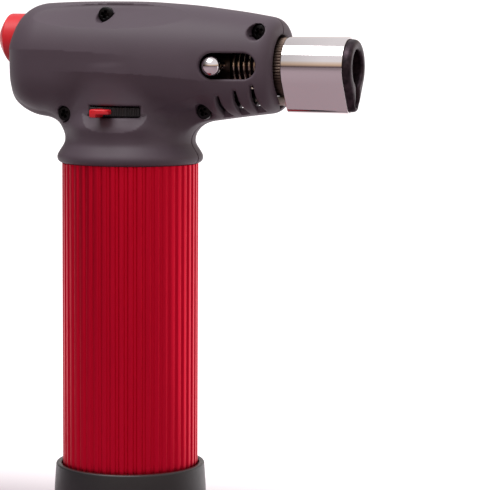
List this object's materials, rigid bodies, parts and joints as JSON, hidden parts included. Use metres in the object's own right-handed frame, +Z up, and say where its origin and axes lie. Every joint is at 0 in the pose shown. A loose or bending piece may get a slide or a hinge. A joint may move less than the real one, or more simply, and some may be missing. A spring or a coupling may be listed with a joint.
{
  "type": "butane torch",
  "caption": "Hand-held piezo-lit butane torch: a horizontal head and nozzle on a ribbed round fuel tank that stands in a flared base.",
  "frame": {"origin": "centre of the base stand's flat underside, on the tank's axis", "axes": "+Z up along the tank, +X towards the nozzle, +Y to the torch's left"},
  "size_m": [0.1056, 0.06, 0.1553],
  "materials": {
    "housing_plastic": "soft matt, finely spark-textured",
    "button_plastic": "satin moulded",
    "anodised_red": "satin anodised",
    "base_plastic": "satin moulded",
    "polished_steel": "mirror polished",
    "plain_steel": "satin",
    "blackened_steel": "heat-blackened matt",
    "burner_steel": "cross-knurled",
    "spring_wire": "bright drawn wire",
    "turned_brass": "as turned",
    "sintered_bronze": "porous sintered",
    "dial_plastic": "satin moulded",
    "piezo_plastic": "gloss moulded",
    "tank_nylon": "milky translucent",
    "tube_plastic": "smooth extruded",
    "wire_cover": "smooth silicone",
    "seal_rubber": "matt",
    "white_ceramic": "unglazed alumina"
  },
  "bodies": {
    "torch_body": {"housing_right": "housing_plastic", "housing_left": "housing_plastic", "housing_screws": "blackened_steel", "piezo_body": "piezo_plastic", "trigger_spring": "spring_wire", "lever_pin": "plain_steel", "lever_bracket": "plain_steel", "valve_body": "turned_brass", "valve_seal": "seal_rubber", "gas_elbow": "turned_brass", "gas_tube": "tube_plastic", "jet_holder": "turned_brass", "gas_filter": "sintered_bronze", "gas_jet": "turned_brass", "burner_tube": "plain_steel", "burner_hub": "burner_steel", "air_spring": "spring_wire", "nozzle_shroud": "polished_steel", "nozzle_insert": "blackened_steel", "flame_holder": "white_ceramic", "electrode": "plain_steel", "electrode_insulator": "white_ceramic", "ignition_wire": "wire_cover", "tank_sleeve": "anodised_red", "fuel_tank": "tank_nylon", "dip_tube": "tube_plastic", "fill_valve": "turned_brass", "fill_valve_spring": "spring_wire", "fill_valve_seal": "seal_rubber"},
    "trigger": {"trigger_button": "button_plastic", "piezo_plunger": "piezo_plastic"},
    "valve_lever": {"valve_lever": "plain_steel"},
    "valve_stem": {"valve_stem": "turned_brass"},
    "flame_dial": {"flame_dial": "dial_plastic", "flame_lever": "button_plastic"},
    "air_slider": {"air_collar": "plain_steel", "air_knob": "polished_steel"},
    "fill_stem": {"fill_valve_stem": "turned_brass"},
    "base": {"base_stand": "base_plastic"}
  },
  "joints": [
    {"name": "trigger_press", "type": "slide", "parent": "torch_body", "child": "trigger", "axis": [1, 0, 0], "range_m": [0, 0.004], "stiffness_N_per_m": 900, "springref_m": -0.004, "deforming": ["trigger_spring"]},
    {"name": "lever_tilt", "type": "hinge", "parent": "torch_body", "child": "valve_lever", "pos_m": [0.004, 0, 0.131], "axis": [0, 1, 0], "range_deg": [0, 24.9]},
    {"name": "valve_lift", "type": "slide", "parent": "torch_body", "child": "valve_stem", "axis": [0, 0, 1], "range_m": [0, 0.00169]},
    {"name": "flame_set", "type": "hinge", "parent": "torch_body", "child": "flame_dial", "pos_m": [0, 0, 0.125], "axis": [0, 0, 1], "range_deg": [-9, 23]},
    {"name": "air_set", "type": "slide", "parent": "torch_body", "child": "air_slider", "axis": [1, 0, 0], "range_m": [0, 0.006], "deforming": ["air_spring"]},
    {"name": "fill_press", "type": "slide", "parent": "torch_body", "child": "fill_stem", "axis": [0, 0, 1], "range_m": [0, 0.0015], "stiffness_N_per_m": 400, "springref_m": -0.002, "deforming": ["fill_valve_spring"]},
    {"name": "base_pull_off", "type": "slide", "parent": "torch_body", "child": "base", "axis": [0, 0, -1], "range_m": [0, 0.03]}
  ],
  "couplings": [
    {"joint": "lever_tilt", "follows": "trigger_press", "rad_per_m": 108.65},
    {"joint": "valve_lift", "follows": "trigger_press", "ratio": 0.42105}
  ]
}
